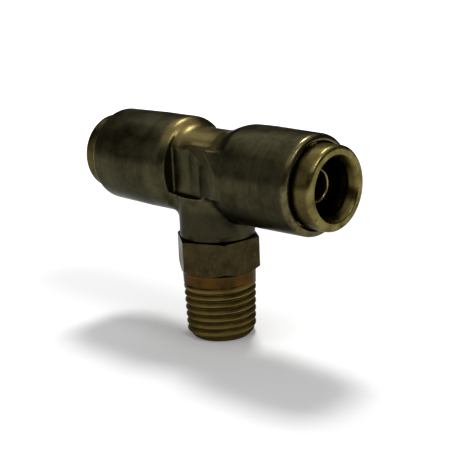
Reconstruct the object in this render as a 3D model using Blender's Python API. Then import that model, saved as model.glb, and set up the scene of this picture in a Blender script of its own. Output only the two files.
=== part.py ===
"""Swivel branch tee for 3/8 inch air tube, with a 1/4-18 taper pipe thread on its swivel stem.

The origin is the centre of the thread's end face. The branch rises along +Z and the
run lies along X, so the right hand port looks along +X. Lengths are in metres.
"""

import bpy
import bmesh
from math import atan2, cos, pi, radians, sin, sqrt
from mathutils import Matrix, Vector

MM = 0.001

# Tube and clearances
TUBE_DIAMETER = 9.525 * MM
TUBE_INSIDE_DIAMETER = 6.4 * MM
TUBE_SLIP = 0.19 * MM          # between the tube and the bores that guide it
SEAT_GAP = 0.3 * MM            # between a piece and what it is pressed into or rests on
RING_GAP = 0.2 * MM            # round a ring in its groove
BITE = 0.15 * MM               # how far seals and barbs stand inside the tube's surface

# Run of the body, measured out from the branch axis
WAIST_LENGTH = 1.2 * MM        # neck that shows between the hub and a barrel
STOP_SETBACK = 0.46 * MM       # from the barrel's inner end to where the tube's end stops
GUIDE_LENGTH = 2.4 * MM        # plain bore round the end of the tube
BARREL_RECESS = 2.33 * MM      # from the housing's outer end to the rim
BARREL_DRAFT = 0.25 * MM       # growth of the barrel's radius from its rim to its inner end
BARREL_EDGE = 0.25 * MM        # chamfer at the barrel's inner end
RIM_WALL = 1.19 * MM           # round the socket at the barrel's outer end
RIM_CHAMFER = 0.9 * MM         # at the barrel's outer end
SOCKET_LEAD = 0.1 * MM         # chamfer at the mouth of the socket for housing and button
NECK_DIAMETER = 14.1 * MM
NECK_FILLET = 1.5 * MM
PASSAGE_DIAMETER = 5.2 * MM

# Hub and branch of the body, heights measured from the run axis
AXIS_HEIGHT = 31.97 * MM       # run axis above the thread's end face
HUB_DIAMETER = 15.4 * MM       # upright boss at the crossing
HUB_CROWN_DIAMETER = 14.62 * MM  # the hub's rounded top, about the run axis
FLATS_WIDTH = 11.86 * MM       # across the two wrench flats
FLAT_LENGTH = 10.6 * MM
FLAT_DROP = 4.1 * MM           # ledge under each flat, below the run axis
COLLAR_DIAMETER = 14.06 * MM   # branch round the swivel
COLLAR_TOP = 6.2 * MM          # below the run axis, where the collar meets the hub's taper
COLLAR_END = 12.31 * MM        # below the run axis
COLLAR_CHAMFER = 0.25 * MM
BRANCH_SOCKET_DIAMETER = 11.8 * MM
BRANCH_LEAD = 0.35 * MM        # chamfer at the mouth of the branch socket

# Pieces inside each port
SEAL_SECTION = 1.7 * MM
SPACER_THICKNESS = 1.3 * MM
HOUSING_LENGTH = 6.6 * MM
HOUSING_WALL = 0.6 * MM        # round the collet's fingers
SLEEVE_WALL = 0.65 * MM        # of the collet's sleeve
CONE_RISE = 0.9 * MM           # growth of the housing's bore along its cone
CONE_LENGTH = 2.7 * MM
THROAT_LENGTH = 2.2 * MM
RELEASE_TRAVEL = 1.8 * MM
BUTTON_GAP = 0.3 * MM          # round the button in its socket
BUTTON_LENGTH = 4.11 * MM
BUTTON_EDGE = 0.4 * MM         # round on the button's outer edge
BUTTON_MOUTH = 0.3 * MM        # round on the button's bore
FINGER_SLOTS = 6               # an even number, each pair cut by one slitting saw
SLOT_WIDTH = 0.8 * MM
SLOT_LENGTH = 5.2 * MM
BARB_PITCH = 0.6 * MM
EDGE_BREAK = 0.2 * MM          # chamfer on the small turned edges
SUPPORT_WALL = 0.55 * MM
SUPPORT_SLIP = 0.15 * MM       # between the tube's inside and its support
SUPPORT_SETBACK = 4.2 * MM     # from the button's face to the support's rim
SUPPORT_BASE_WALL = 0.9 * MM
SUPPORT_BASE_LENGTH = 3.6 * MM

# Swivel stem
THREAD_DIAMETER = 13.8 * MM    # over the crests, next to the hexagon
THREAD_TAPER = 1 / 16          # loss of diameter with length
THREAD_PITCH = 25.4 / 18 * MM
THREAD_DEPTH = 0.6 * MM
THREAD_TURNS = 6               # full turns above the end chamfer, here as separate rings
THREAD_CHAMFER_HEIGHT = 1.3 * MM
THREAD_END_DIAMETER = 11.0 * MM
HEX_ACROSS_FLATS = 14.29 * MM
HEX_HEIGHT = 6.45 * MM
HEX_TURN = -37.0               # degrees from +X to a corner
HEX_CHAMFER_SLOPE = 0.5        # fall of the corner chamfer over its width
HEX_CHAMFER_INSET = 0.1 * MM   # the chamfer's circle on an end face, inside the flats
SWIVEL_GAP = 0.3 * MM          # between the hexagon and the collar
STEM_BORE = 6.0 * MM
STEM_LEAD = 0.4 * MM
STEM_SEAL_SECTION = 1.6 * MM
BACKUP_THICKNESS = 0.8 * MM
GROOVE_SPACING = 0.6 * MM      # metal between the seal groove and the wire groove
SPIGOT_LIP = 0.7 * MM          # metal above the seal groove
SPIGOT_LEAD = 0.25 * MM        # chamfer round the spigot's top
WASHER_THICKNESS = 0.8 * MM
WIRE_DIAMETER = 1.0 * MM
WIRE_OPENING = 24.0            # degrees left open in the snap ring
WIRE_TO_COLLAR_END = 1.4 * MM  # from the ring's centre to the end of the collar

# Roundness and cleaning
BODY_SEGMENTS = 48
RING_SEGMENTS = 32
SECTION_SEGMENTS = 8           # round a seal's or a wire's section
ARC_STEPS = 3
CROWN_STEPS = 25
MERGE_DISTANCE = 0.0005 * MM


def arc(centre, radius, start, end, steps=ARC_STEPS):
    """Points (along, out) on an arc, from start to end in degrees."""
    angles = [radians(start + (end - start) * i / steps) for i in range(steps + 1)]
    return [(centre[0] + radius * cos(a), centre[1] + radius * sin(a)) for a in angles]


def material(name, colour, metallic, roughness):
    """A plain Principled BSDF material."""
    made = bpy.data.materials.new(name)
    made.use_nodes = True
    shader = made.node_tree.nodes["Principled BSDF"]
    shader.inputs["Base Color"].default_value = (*colour, 1.0)
    shader.inputs["Metallic"].default_value = metallic
    shader.inputs["Roughness"].default_value = roughness
    made.diffuse_color = (*colour, 1.0)
    return made


def new_object(name, bm, finish=None, sharp=30.0):
    """Turn a bmesh into an object with outward faces and smooth round surfaces."""
    bmesh.ops.remove_doubles(bm, verts=bm.verts, dist=MERGE_DISTANCE)
    bmesh.ops.dissolve_degenerate(bm, edges=bm.edges, dist=MERGE_DISTANCE)
    bmesh.ops.recalc_face_normals(bm, faces=bm.faces)
    mesh = bpy.data.meshes.new(name)
    bm.to_mesh(mesh)
    bm.free()
    mesh.shade_smooth()
    mesh.set_sharp_from_angle(angle=radians(sharp))
    if finish:
        mesh.materials.append(finish)
    made = bpy.data.objects.new(name, mesh)
    bpy.context.collection.objects.link(made)
    return made


def spun(profile, axis, segments, closed=True):
    """A bmesh turned from (along, out) points about the X or the Z axis."""
    bm = bmesh.new()
    if axis == "X":
        verts = [bm.verts.new((along, 0.0, out)) for along, out in profile]
        about = (1.0, 0.0, 0.0)
    else:
        verts = [bm.verts.new((out, 0.0, along)) for along, out in profile]
        about = (0.0, 0.0, 1.0)
    edges = [bm.edges.new(pair) for pair in zip(verts, verts[1:])]
    if closed:
        edges.append(bm.edges.new((verts[-1], verts[0])))
    bmesh.ops.spin(bm, geom=verts + edges, cent=(0.0, 0.0, 0.0), axis=about,
                   angle=2 * pi, steps=segments, use_merge=True)
    return bm


def turned(name, profile, axis, finish=None, segments=RING_SEGMENTS):
    """A ring turned from a closed profile that stays clear of its axis."""
    return new_object(name, spun(profile, axis, segments), finish)


def turned_bar(name, profile, axis, finish=None, segments=RING_SEGMENTS):
    """A solid turned from an open profile, closed by its two end discs."""
    ends = [(profile[0][0], 0.0), *profile, (profile[-1][0], 0.0)]
    return new_object(name, spun(ends, axis, segments, closed=False), finish)


def box(name, low, high):
    """A box between two corners."""
    bm = bmesh.new()
    bmesh.ops.create_cube(bm, size=1.0)
    size = Vector(high) - Vector(low)
    middle = (Vector(high) + Vector(low)) / 2
    bmesh.ops.transform(bm, verts=bm.verts, matrix=Matrix.Translation(middle) @ Matrix.Diagonal((*size, 1)))
    return new_object(name, bm)


def boolean(target, tool, operation):
    """Cut, join or keep with a tool object that stays as a guide."""
    modifier = target.modifiers.new(tool.name, "BOOLEAN")
    modifier.operation = operation
    modifier.solver = "EXACT"
    modifier.object = tool
    tool.hide_render = True
    tool.display_type = "WIRE"


def place(made, location, parent=None):
    """Set an object on its own axis, under a parent if it moves with one."""
    made.location = location
    if parent:
        made.parent = parent
        made.location = Vector(location) - parent.location
    return made


def pivot(name, location):
    """An empty on a joint's axis."""
    empty = bpy.data.objects.new(name, None)
    empty.location = location
    bpy.context.collection.objects.link(empty)
    return empty


# Places along a port, out from the branch axis
TUBE_RADIUS = TUBE_DIAMETER / 2
GUIDE_RADIUS = TUBE_RADIUS + TUBE_SLIP
BITE_RADIUS = TUBE_RADIUS - BITE
HUB_RADIUS = HUB_DIAMETER / 2
BARREL_START = HUB_RADIUS + WAIST_LENGTH
STOP_DISTANCE = BARREL_START + STOP_SETBACK
GLAND_START = STOP_DISTANCE + GUIDE_LENGTH
SEAL_CENTRE = GLAND_START + SEAT_GAP + SEAL_SECTION / 2
SPACER_START = SEAL_CENTRE + SEAL_SECTION / 2 + SEAT_GAP
SPACER_END = SPACER_START + SPACER_THICKNESS
HOUSING_START = SPACER_END + 2 * SEAT_GAP
HOUSING_END = HOUSING_START + HOUSING_LENGTH
BUTTON_BACK = HOUSING_END + RELEASE_TRAVEL + SEAT_GAP
BUTTON_FACE = BUTTON_BACK + BUTTON_LENGTH
FINGER_END = SPACER_END + RELEASE_TRAVEL + SEAT_GAP
BARREL_END = HOUSING_END + BARREL_RECESS

# Radii along a port, out from the tube
GLAND_RADIUS = BITE_RADIUS + SEAL_SECTION + RING_GAP
SLEEVE_RADIUS = GUIDE_RADIUS + SLEEVE_WALL
THROAT_RADIUS = SLEEVE_RADIUS + SEAT_GAP
CHAMBER_RADIUS = THROAT_RADIUS + CONE_RISE
HOUSING_RADIUS = CHAMBER_RADIUS + HOUSING_WALL
SOCKET_RADIUS = HOUSING_RADIUS + SEAT_GAP
BUTTON_RADIUS = SOCKET_RADIUS - BUTTON_GAP
BARREL_END_RADIUS = SOCKET_RADIUS + RIM_WALL
BARREL_RADIUS = BARREL_END_RADIUS + BARREL_DRAFT
SUPPORT_RADIUS = TUBE_INSIDE_DIAMETER / 2 - SUPPORT_SLIP
SUPPORT_BORE_RADIUS = SUPPORT_RADIUS - SUPPORT_WALL
SUPPORT_BASE_RADIUS = SUPPORT_BORE_RADIUS + SUPPORT_BASE_WALL
SUPPORT_BASE_END = STOP_DISTANCE - SEAT_GAP
SUPPORT_START = SUPPORT_BASE_END - SUPPORT_BASE_LENGTH

# Heights and radii of the swivel
COLLAR_Z = AXIS_HEIGHT - COLLAR_END
HEX_TOP = COLLAR_Z - SWIVEL_GAP
HEX_BOTTOM = HEX_TOP - HEX_HEIGHT
BRANCH_SOCKET_RADIUS = BRANCH_SOCKET_DIAMETER / 2
SPIGOT_RADIUS = BRANCH_SOCKET_RADIUS - SEAT_GAP
STEM_BORE_RADIUS = STEM_BORE / 2
STEM_SEAL_OUTER = BRANCH_SOCKET_RADIUS - RING_GAP
SEAL_GROOVE_RADIUS = STEM_SEAL_OUTER - STEM_SEAL_SECTION - RING_GAP
WIRE_RADIUS = (BRANCH_SOCKET_RADIUS + SPIGOT_RADIUS) / 2
WIRE_Z = COLLAR_Z + WIRE_TO_COLLAR_END
WIRE_GROOVE_HALF = WIRE_DIAMETER / 2 + RING_GAP
SEAL_GROOVE_BOTTOM = WIRE_Z + WIRE_GROOVE_HALF + GROOVE_SPACING
SEAL_GROOVE_TOP = SEAL_GROOVE_BOTTOM + BACKUP_THICKNESS + STEM_SEAL_SECTION + 3 * RING_GAP
SPIGOT_TOP = SEAL_GROOVE_TOP + SPIGOT_LIP
BRANCH_SOCKET_TOP = SPIGOT_TOP + WASHER_THICKNESS + 2 * SEAT_GAP


def run_outside():
    """Half of the run's outside, from the branch axis to the rim."""
    start, radius, neck = BARREL_START, BARREL_RADIUS, NECK_DIAMETER / 2
    fillet = arc((start - NECK_FILLET, neck + NECK_FILLET), NECK_FILLET, -90, 0)
    return [
        (0.0, neck), *fillet, (start, radius - BARREL_EDGE), (start + BARREL_EDGE, radius),
        (BARREL_END - RIM_CHAMFER, BARREL_END_RADIUS), (BARREL_END, BARREL_END_RADIUS - RIM_CHAMFER),
    ]


def run_bores():
    """Half of the run's bores, from the branch axis out past the rim."""
    base = SUPPORT_BASE_RADIUS + SEAT_GAP
    return [
        (0.0, PASSAGE_DIAMETER / 2), (SUPPORT_START - SEAT_GAP, PASSAGE_DIAMETER / 2),
        (SUPPORT_START - SEAT_GAP, base), (STOP_DISTANCE, base),
        (STOP_DISTANCE, GUIDE_RADIUS), (GLAND_START, GUIDE_RADIUS),
        (GLAND_START, GLAND_RADIUS), (SPACER_END + SEAT_GAP, GLAND_RADIUS),
        (SPACER_END + SEAT_GAP, SOCKET_RADIUS), (BARREL_END - SOCKET_LEAD, SOCKET_RADIUS),
        (BARREL_END + SOCKET_LEAD, SOCKET_RADIUS + 2 * SOCKET_LEAD),
    ]


def both_ways(half):
    """A profile and its mirror image across the branch axis."""
    return [(-along, out) for along, out in reversed(half[1:])] + half[1:]


def hub_crown(length):
    """A tunnel shaped guide: the hub's round top, left wide open below the run axis."""
    wide = HUB_DIAMETER
    crown = arc((0.0, 0.0), HUB_CROWN_DIAMETER / 2, 180, 0, CROWN_STEPS)
    outline = [(-wide, -2 * wide), (-wide, 0.0), *crown, (wide, 0.0), (wide, -2 * wide)]
    bm = bmesh.new()
    face = bm.faces.new([bm.verts.new((-length / 2, y, z)) for y, z in outline])
    swept = bmesh.ops.extrude_face_region(bm, geom=[face])
    moved = [item for item in swept["geom"] if isinstance(item, bmesh.types.BMVert)]
    bmesh.ops.translate(bm, verts=moved, vec=(length, 0.0, 0.0))
    return new_object("guide_hub_crown", bm)


def tee_body(finish, parent):
    """The forged and turned body: two barrels, a waisted hub with flats, and the branch collar."""
    body = turned_bar("tee_body", both_ways(run_outside()), "X", finish, BODY_SEGMENTS)
    hub, collar = HUB_RADIUS, COLLAR_DIAMETER / 2
    boss = turned_bar("guide_hub", [
        (hub, hub), (-FLAT_DROP, hub), (-COLLAR_TOP, collar),
        (-COLLAR_END + COLLAR_CHAMFER, collar), (-COLLAR_END, collar - COLLAR_CHAMFER),
    ], "Z", None, BODY_SEGMENTS)
    boolean(boss, hub_crown(2 * HUB_DIAMETER), "INTERSECT")
    boolean(body, boss, "UNION")
    reach = 2 * BARREL_RADIUS
    for side, name in ((-1, "front"), (1, "back")):
        near, far = side * FLATS_WIDTH / 2, side * reach
        low = (-FLAT_LENGTH / 2, min(near, far), -FLAT_DROP)
        high = (FLAT_LENGTH / 2, max(near, far), hub)
        boolean(body, box(f"cutter_flat_{name}", low, high), "DIFFERENCE")
    boolean(body, turned_bar("cutter_run", both_ways(run_bores()), "X", None, BODY_SEGMENTS), "DIFFERENCE")
    boolean(body, branch_cutter(), "DIFFERENCE")
    for tool in [m.object for m in body.modifiers] + [m.object for m in boss.modifiers]:
        tool.parent = body
    return place(body, (0.0, 0.0, AXIS_HEIGHT), parent)


def branch_cutter():
    """The branch socket, with its groove for the snap ring and the passage up to the run."""
    groove = WIRE_RADIUS + WIRE_DIAMETER / 2 + RING_GAP
    top, wire = BRANCH_SOCKET_TOP - AXIS_HEIGHT, WIRE_Z - AXIS_HEIGHT
    socket = BRANCH_SOCKET_RADIUS
    return turned_bar("cutter_branch", [
        (0.0, STEM_BORE_RADIUS), (top, STEM_BORE_RADIUS), (top, socket),
        (wire + WIRE_GROOVE_HALF, socket), (wire + WIRE_GROOVE_HALF, groove),
        (wire - WIRE_GROOVE_HALF, groove), (wire - WIRE_GROOVE_HALF, socket),
        (-COLLAR_END + BRANCH_LEAD, socket), (-COLLAR_END - BRANCH_LEAD, socket + 2 * BRANCH_LEAD),
    ], "Z", None, BODY_SEGMENTS)


def collet_profile():
    """The release button and its sleeve of fingers, which end in a cone and barbs."""
    face, edge, mouth = BUTTON_FACE, BUTTON_EDGE, BUTTON_MOUTH
    button, bore = BUTTON_RADIUS, GUIDE_RADIUS
    slope = CONE_RISE / CONE_LENGTH
    gap = SEAT_GAP * sqrt(1 + slope * slope)
    head = CHAMBER_RADIUS - SEAT_GAP - RING_GAP
    cone_start = HOUSING_END - THROAT_LENGTH - CONE_LENGTH
    head_end = cone_start + (CHAMBER_RADIUS - gap - head) / slope
    cone_end = cone_start + (CHAMBER_RADIUS - gap - SLEEVE_RADIUS) / slope
    lead = EDGE_BREAK
    outside = [
        (FINGER_END, head - lead), (FINGER_END + lead, head), (head_end, head),
        (cone_end, SLEEVE_RADIUS), (BUTTON_BACK, SLEEVE_RADIUS),
        (BUTTON_BACK, button - lead), (BUTTON_BACK + lead, button),
    ]
    rounds = arc((face - edge, button - edge), edge, 90, 0) + arc((face - mouth, bore + mouth), mouth, 0, -90)
    barbs = []
    for tooth in (2, 1):
        root = FINGER_END + tooth * BARB_PITCH
        barbs += [(root, bore), (root - BARB_PITCH + lead / 2, BITE_RADIUS)]
    return outside + rounds + barbs + [(FINGER_END, bore)]


def collet(name, side, finish, parent):
    """One release collet, slit into fingers by saw cuts across its inner end."""
    made = turned(name, [(side * along, out) for along, out in collet_profile()], "X", finish)
    slot_end = FINGER_END + SLOT_LENGTH
    for i in range(FINGER_SLOTS // 2):
        near, far = sorted((side * (FINGER_END - MM), side * slot_end))
        half = SLOT_WIDTH / 2
        saw = box(f"cutter_{name}_slot_{i + 1}", (near, -half, -SOCKET_RADIUS), (far, half, SOCKET_RADIUS))
        saw.rotation_euler.x = pi * (i + 0.5) / (FINGER_SLOTS / 2)
        saw.parent = made
        boolean(made, saw, "DIFFERENCE")
    return place(made, (0.0, 0.0, AXIS_HEIGHT), parent)


def housing_profile():
    """The sleeve whose cone closes the fingers on the tube."""
    cone_end = HOUSING_END - THROAT_LENGTH
    lead = EDGE_BREAK
    return [
        (HOUSING_START, CHAMBER_RADIUS), (HOUSING_START, HOUSING_RADIUS - lead),
        (HOUSING_START + lead, HOUSING_RADIUS), (HOUSING_END - lead, HOUSING_RADIUS),
        (HOUSING_END, HOUSING_RADIUS - lead), (HOUSING_END, THROAT_RADIUS + lead),
        (HOUSING_END - lead, THROAT_RADIUS), (cone_end, THROAT_RADIUS),
        (cone_end - CONE_LENGTH, CHAMBER_RADIUS),
    ]


def flat_ring(start, end, inner, outer):
    """The section of a flat ring, as (along, out) points."""
    return [(start, inner), (start, outer), (end, outer), (end, inner)]


def support_profile():
    """The tube support: a thin sleeve on a thicker base pressed into the hub."""
    rim = BUTTON_FACE - SUPPORT_SETBACK
    edge = SUPPORT_WALL / 2
    return [
        (SUPPORT_START, SUPPORT_BORE_RADIUS), (SUPPORT_START, SUPPORT_BASE_RADIUS),
        (SUPPORT_BASE_END, SUPPORT_BASE_RADIUS), (SUPPORT_BASE_END, SUPPORT_RADIUS),
        *arc((rim - edge, SUPPORT_RADIUS - edge), edge, 90, -90), (rim - edge, SUPPORT_BORE_RADIUS),
    ]


def seal_profile(centre, radius, section):
    """The round section of a seal, as (along, out) points."""
    return arc((centre, radius), section / 2, 0, 360, SECTION_SEGMENTS)[:-1]


def port(side, name, finishes, tee):
    """Everything that one port holds, and its sliding release collet."""
    axis = (0.0, 0.0, AXIS_HEIGHT)
    profiles = {
        "collet_housing": (housing_profile(), "housing_brass"),
        "spacer_ring": (flat_ring(SPACER_START, SPACER_END, GUIDE_RADIUS, GLAND_RADIUS - SEAT_GAP), "acetal"),
        "tube_seal": (seal_profile(SEAL_CENTRE, BITE_RADIUS + SEAL_SECTION / 2, SEAL_SECTION), "rubber"),
        "tube_support": (support_profile(), "support_brass"),
    }
    for piece, (profile, finish) in profiles.items():
        mirrored = [(side * along, out) for along, out in profile]
        place(turned(f"{piece}_{name}", mirrored, "X", finishes[finish]), axis, tee)
    slide = pivot(f"release_axis_{name}", (side * BUTTON_FACE, 0.0, AXIS_HEIGHT))
    slide.parent = tee
    slide.location = slide.location - tee.location
    made = collet(f"release_collet_{name}", side, finishes["button_brass"], None)
    made.parent = slide
    made.location = (-side * BUTTON_FACE, 0.0, 0.0)


def crest_radius(height):
    """The thread's radius over its crests at a height above its end face."""
    return THREAD_DIAMETER / 2 - THREAD_TAPER * (HEX_BOTTOM - height) / 2


def thread_rings():
    """The thread's crests and roots as closed rings, which stand for its helix."""
    points = []
    for turn in range(THREAD_TURNS):
        crest = THREAD_CHAMFER_HEIGHT + turn * THREAD_PITCH
        root = crest + THREAD_PITCH / 2
        points += [(crest, crest_radius(crest)), (root, crest_radius(root) - THREAD_DEPTH)]
    last = THREAD_CHAMFER_HEIGHT + THREAD_TURNS * THREAD_PITCH
    return points + [(last, crest_radius(last))]


def stem_outside():
    """The stem's outside from the thread's end up to the spigot, without the hexagon."""
    wire_groove = WIRE_RADIUS - WIRE_DIAMETER - RING_GAP
    spigot, lead = SPIGOT_RADIUS, SPIGOT_LEAD
    return [
        (0.0, THREAD_END_DIAMETER / 2), *thread_rings(),
        (HEX_BOTTOM, THREAD_DIAMETER / 2), (HEX_TOP, THREAD_DIAMETER / 2),
        (HEX_TOP, spigot), (WIRE_Z - WIRE_GROOVE_HALF, spigot),
        (WIRE_Z - WIRE_GROOVE_HALF, wire_groove), (WIRE_Z + WIRE_GROOVE_HALF, wire_groove),
        (WIRE_Z + WIRE_GROOVE_HALF, spigot), (SEAL_GROOVE_BOTTOM, spigot),
        (SEAL_GROOVE_BOTTOM, SEAL_GROOVE_RADIUS), (SEAL_GROOVE_TOP, SEAL_GROOVE_RADIUS),
        (SEAL_GROOVE_TOP, spigot), (SPIGOT_TOP - lead, spigot), (SPIGOT_TOP, spigot - lead),
    ]


def hexagon():
    """The stem's hexagon, its corners chamfered top and bottom by a turned guide."""
    flats = HEX_ACROSS_FLATS / 2
    corner = flats / cos(pi / 6)
    bm = bmesh.new()
    bmesh.ops.create_cone(bm, cap_ends=True, segments=6, radius1=corner, radius2=corner, depth=HEX_HEIGHT)
    first = bm.verts[:][0].co
    turn = radians(HEX_TURN) - atan2(first.y, first.x)
    middle = Matrix.Translation((0.0, 0.0, (HEX_TOP + HEX_BOTTOM) / 2))
    bmesh.ops.transform(bm, verts=bm.verts, matrix=middle @ Matrix.Rotation(turn, 4, "Z"))
    made = new_object("guide_hexagon", bm)
    start, wide = flats - HEX_CHAMFER_INSET, corner + HEX_CHAMFER_INSET
    over = (wide - start) * HEX_CHAMFER_SLOPE
    guide = turned_bar("guide_hexagon_corners", [
        (HEX_BOTTOM, start), (HEX_BOTTOM + over, wide), (HEX_TOP - over, wide), (HEX_TOP, start),
    ], "Z", None, BODY_SEGMENTS)
    boolean(made, guide, "INTERSECT")
    return made


def swivel_stem(finish):
    """The swivel stem: tapered thread, hexagon, and grooved spigot, bored through."""
    stem = turned_bar("swivel_stem", stem_outside(), "Z", finish, BODY_SEGMENTS)
    boolean(stem, hexagon(), "UNION")
    bore = STEM_BORE_RADIUS
    boolean(stem, turned_bar("cutter_stem_bore", [
        (-STEM_LEAD, bore + 2 * STEM_LEAD), (STEM_LEAD, bore), (SPIGOT_TOP - STEM_LEAD, bore),
        (SPIGOT_TOP + STEM_LEAD, bore + 2 * STEM_LEAD),
    ], "Z", None, BODY_SEGMENTS), "DIFFERENCE")
    return stem


def stem_rings(finishes):
    """The seal and its backup ring in one groove, and the washer on top of the spigot."""
    section = STEM_SEAL_SECTION
    seal_z = SEAL_GROOVE_TOP - RING_GAP - section / 2
    turned("stem_seal", seal_profile(seal_z, STEM_SEAL_OUTER - section / 2, section), "Z", finishes["rubber"])
    low = SEAL_GROOVE_BOTTOM + RING_GAP
    backup = flat_ring(low, low + BACKUP_THICKNESS, SEAL_GROOVE_RADIUS + RING_GAP, STEM_SEAL_OUTER)
    turned("stem_backup_ring", backup, "Z", finishes["backup"])
    low = SPIGOT_TOP + SEAT_GAP
    washer = flat_ring(low, low + WASHER_THICKNESS, STEM_BORE_RADIUS + 2 * STEM_LEAD, SPIGOT_RADIUS)
    turned("thrust_washer", washer, "Z", finishes["acetal"])


def snap_ring(finish):
    """The round wire ring that locks the spigot in the collar, open at one side."""
    bm = bmesh.new()
    circle = seal_profile(0.0, WIRE_RADIUS, WIRE_DIAMETER)
    section = [bm.verts.new((out, 0.0, along)) for along, out in circle]
    start = bm.faces.new(section)
    turn = 2 * pi - radians(WIRE_OPENING)
    bmesh.ops.rotate(bm, verts=section, matrix=Matrix.Rotation(radians(WIRE_OPENING) / 2, 3, "Z"))
    bmesh.ops.spin(bm, geom=[start], axis=(0.0, 0.0, 1.0), angle=turn, steps=RING_SEGMENTS)
    made = new_object("snap_ring", bm, finish)
    made.location.z = WIRE_Z


def build():
    """Clear the scene, then make the stem, the turning tee and its two ports."""
    for old in list(bpy.data.objects):
        bpy.data.objects.remove(old, do_unlink=True)
    finishes = {
        "body_brass": material("aged_forged_brass", (0.19, 0.15, 0.075), 1.0, 0.38),
        "button_brass": material("turned_brass", (0.48, 0.39, 0.17), 1.0, 0.3),
        "housing_brass": material("housing_brass", (0.42, 0.33, 0.14), 1.0, 0.35),
        "support_brass": material("support_brass", (0.5, 0.4, 0.18), 1.0, 0.3),
        "stem_brass": material("turned_stem_brass", (0.21, 0.165, 0.08), 1.0, 0.36),
        "steel": material("spring_steel_wire", (0.35, 0.35, 0.36), 1.0, 0.3),
        "rubber": material("nitrile_rubber", (0.012, 0.012, 0.013), 0.0, 0.6),
        "acetal": material("white_acetal", (0.62, 0.61, 0.57), 0.0, 0.45),
        "backup": material("backup_ring_plastic", (0.75, 0.74, 0.7), 0.0, 0.4),
    }
    swivel_stem(finishes["stem_brass"])
    stem_rings(finishes)
    snap_ring(finishes["steel"])
    tee = pivot("swivel_axis", (0.0, 0.0, AXIS_HEIGHT))
    tee_body(finishes["body_brass"], tee)
    port(1, "right", finishes, tee)
    port(-1, "left", finishes, tee)


build()
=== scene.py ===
# %% [markdown]
# # A brass swivel tee for air tube
#
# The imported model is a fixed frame: every CAD piece is in place, in metres, with the branch along +Z
# and the run along X. This lesson dresses it: finer pieces replace the plain solids, each gets the
# finish of the real one, and a small studio lights them as in the photograph.

# %% Load the frame
from math import cos, pi, radians, sin, tan

import bmesh
import bpy
from mathutils import Matrix, Quaternion, Vector


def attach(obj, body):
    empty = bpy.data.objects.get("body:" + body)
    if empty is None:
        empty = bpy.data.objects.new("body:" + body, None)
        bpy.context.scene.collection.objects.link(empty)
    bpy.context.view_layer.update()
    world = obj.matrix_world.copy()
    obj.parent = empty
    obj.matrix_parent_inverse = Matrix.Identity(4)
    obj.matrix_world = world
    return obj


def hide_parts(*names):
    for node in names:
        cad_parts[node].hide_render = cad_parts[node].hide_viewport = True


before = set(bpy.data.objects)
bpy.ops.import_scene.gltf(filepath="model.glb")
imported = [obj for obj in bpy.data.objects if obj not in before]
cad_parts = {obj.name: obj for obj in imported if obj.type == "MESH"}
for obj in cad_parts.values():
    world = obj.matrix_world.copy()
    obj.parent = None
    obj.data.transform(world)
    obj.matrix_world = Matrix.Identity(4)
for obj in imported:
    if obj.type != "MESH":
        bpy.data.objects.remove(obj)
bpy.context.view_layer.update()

MM = 0.001

# %% [markdown]
# ## Camera
#
# The photograph looks down a little on the right hand port. The view was solved from the outline of
# the real part: a lens from 200 mm away, rolled two and a half degrees, gives the same perspective.

# %% Camera
CAMERA_TARGET = Vector((3.0, -0.991, 21.788)) * MM
CAMERA_DISTANCE = 202.5 * MM
CAMERA_AZIMUTH = radians(45.097)
CAMERA_ELEVATION = radians(15.504)
CAMERA_ROLL = radians(-2.522)
SENSOR_WIDTH, LENS = 36.0, 88.119   # mm

towards_camera = Vector((
    sin(CAMERA_AZIMUTH) * cos(CAMERA_ELEVATION),
    -cos(CAMERA_AZIMUTH) * cos(CAMERA_ELEVATION),
    sin(CAMERA_ELEVATION),
))
camera = bpy.data.objects.new("camera", bpy.data.cameras.new("camera"))
bpy.context.collection.objects.link(camera)
camera.data.sensor_width, camera.data.lens = SENSOR_WIDTH, LENS
camera.data.clip_start = 0.01
camera.location = CAMERA_TARGET + towards_camera * CAMERA_DISTANCE
camera.rotation_mode = "QUATERNION"
level = (-towards_camera).to_track_quat("-Z", "Y")
camera.rotation_quaternion = level @ Quaternion((0.0, 0.0, 1.0), CAMERA_ROLL)
bpy.context.scene.camera = camera
print("camera at mm:", [round(v / MM, 1) for v in camera.location])

# %% [markdown]
# ## Materials: a few small helpers
#
# A finish is a tree of nodes. One function turns the colours that a painter would write, as sRGB hex,
# into linear light. One adds a node with its settings and links. One turns a real size in
# millimetres into a texture scale, because Object coordinates here are in metres.

# %% Helpers for materials
def linear(code):
    """Linear RGBA of an sRGB hex colour."""
    parts = [int(code[i:i + 2], 16) / 255 for i in (1, 3, 5)]
    return (*[c / 12.92 if c <= 0.04045 else ((c + 0.055) / 1.055) ** 2.4 for c in parts], 1.0)


def per(size):
    """Texture scale whose features are about this many millimetres wide."""
    return 1.0 / (size * MM)


def add(tree, kind, inputs=None, **settings):
    """Add a node. A value sets one of its inputs, and a socket is linked to it."""
    node = tree.nodes.new("ShaderNode" + kind)
    for name, value in settings.items():
        setattr(node, name, value)
    for name, value in (inputs or {}).items():
        if isinstance(value, bpy.types.NodeSocket):
            tree.links.new(value, node.inputs[name])
        else:
            node.inputs[name].default_value = value
    return node


GRAZING_TINT = "#C3C4C3"   # an oxide film keeps metal from going white at a glancing angle


def new_material(name, **values):
    """A Principled material: its tree, its shader and its Object coordinates."""
    made = bpy.data.materials.new(name)
    made.use_nodes = True
    tree = made.node_tree
    shader = tree.nodes["Principled BSDF"]
    for socket, value in values.items():
        shader.inputs[socket.replace("_", " ")].default_value = value
    if values.get("Metallic"):
        shader.inputs["Specular Tint"].default_value = linear(GRAZING_TINT)
    place = add(tree, "TexCoord").outputs["Object"]
    return made, tree, shader, place


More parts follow.
